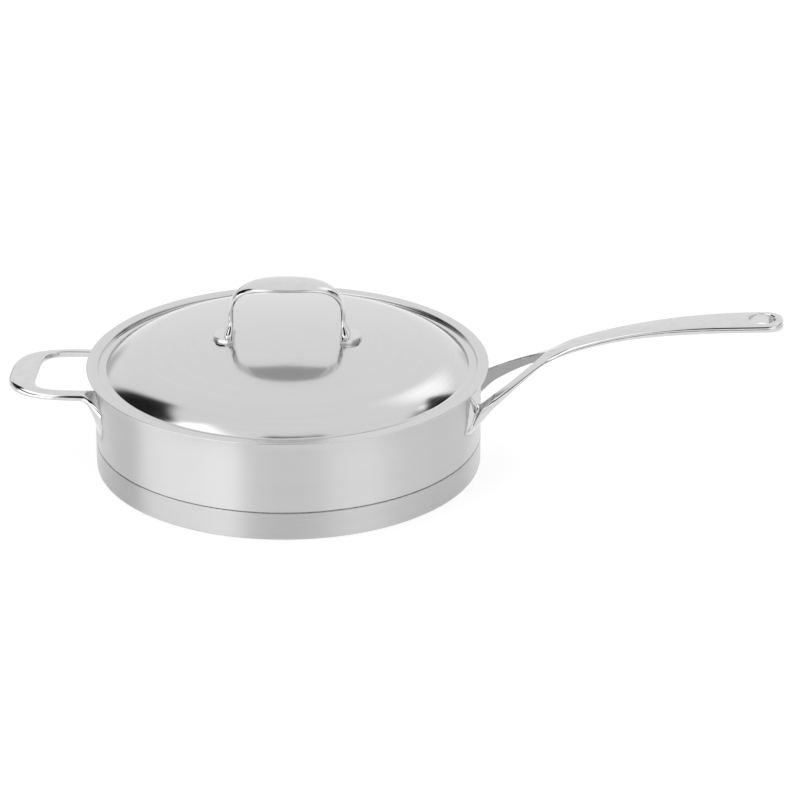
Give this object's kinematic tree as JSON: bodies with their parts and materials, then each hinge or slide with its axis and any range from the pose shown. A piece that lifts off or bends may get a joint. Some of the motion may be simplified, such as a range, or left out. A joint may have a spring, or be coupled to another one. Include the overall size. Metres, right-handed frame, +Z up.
{
  "type": "saute pan with lid",
  "caption": "Straight-sided stainless steel saute pan with a sandwich base, a forked long handle, a loop helper handle and a domed lid that lifts off by a bail handle.",
  "frame": {"origin": "centre of the flat underside of the base, on the axis of the pan", "axes": "+Z up; +X along the long handle; +Y to the rear, away from the camera side of the picture"},
  "size_m": [0.5645, 0.294, 0.1404],
  "materials": {
    "pan_sheet": "satin polished stainless steel",
    "capsule_sheet": "satin polished stainless steel",
    "seam_weld": "ground weld, darker than the sheet",
    "copper_core": "plain copper, closed in and unseen",
    "bonding_foil": "plain foil, closed in and unseen",
    "magnetic_ply": "plain magnetic steel, closed in and unseen",
    "long_handle_cast": "mirror polished cast stainless steel",
    "helper_handle_cast": "mirror polished cast stainless steel",
    "lid_handle_cast": "mirror polished cast stainless steel",
    "lid_sheet": "bright polished stainless steel",
    "weld_metal": "polished-over weld bead"
  },
  "bodies": {
    "pan": {"pan_shell": "pan_sheet", "base_capsule": "capsule_sheet", "capsule_seam_weld": "seam_weld", "core_disc": "copper_core", "core_foil_upper": "bonding_foil", "core_foil_lower": "bonding_foil", "induction_ply_upper": "magnetic_ply", "induction_ply_middle": "magnetic_ply", "long_handle": "long_handle_cast", "long_handle_weld_front": "weld_metal", "long_handle_weld_rear": "weld_metal", "helper_handle": "helper_handle_cast", "helper_weld_front": "weld_metal", "helper_weld_rear": "weld_metal"},
    "lid": {"lid_shell": "lid_sheet", "lid_handle": "lid_handle_cast", "lid_handle_weld_left": "weld_metal", "lid_handle_weld_right": "weld_metal"}
  },
  "joints": [
    {"name": "lid_lift", "type": "slide", "parent": "pan", "child": "lid", "axis": [0, 0, 1], "range_m": [0, 0.15]}
  ]
}
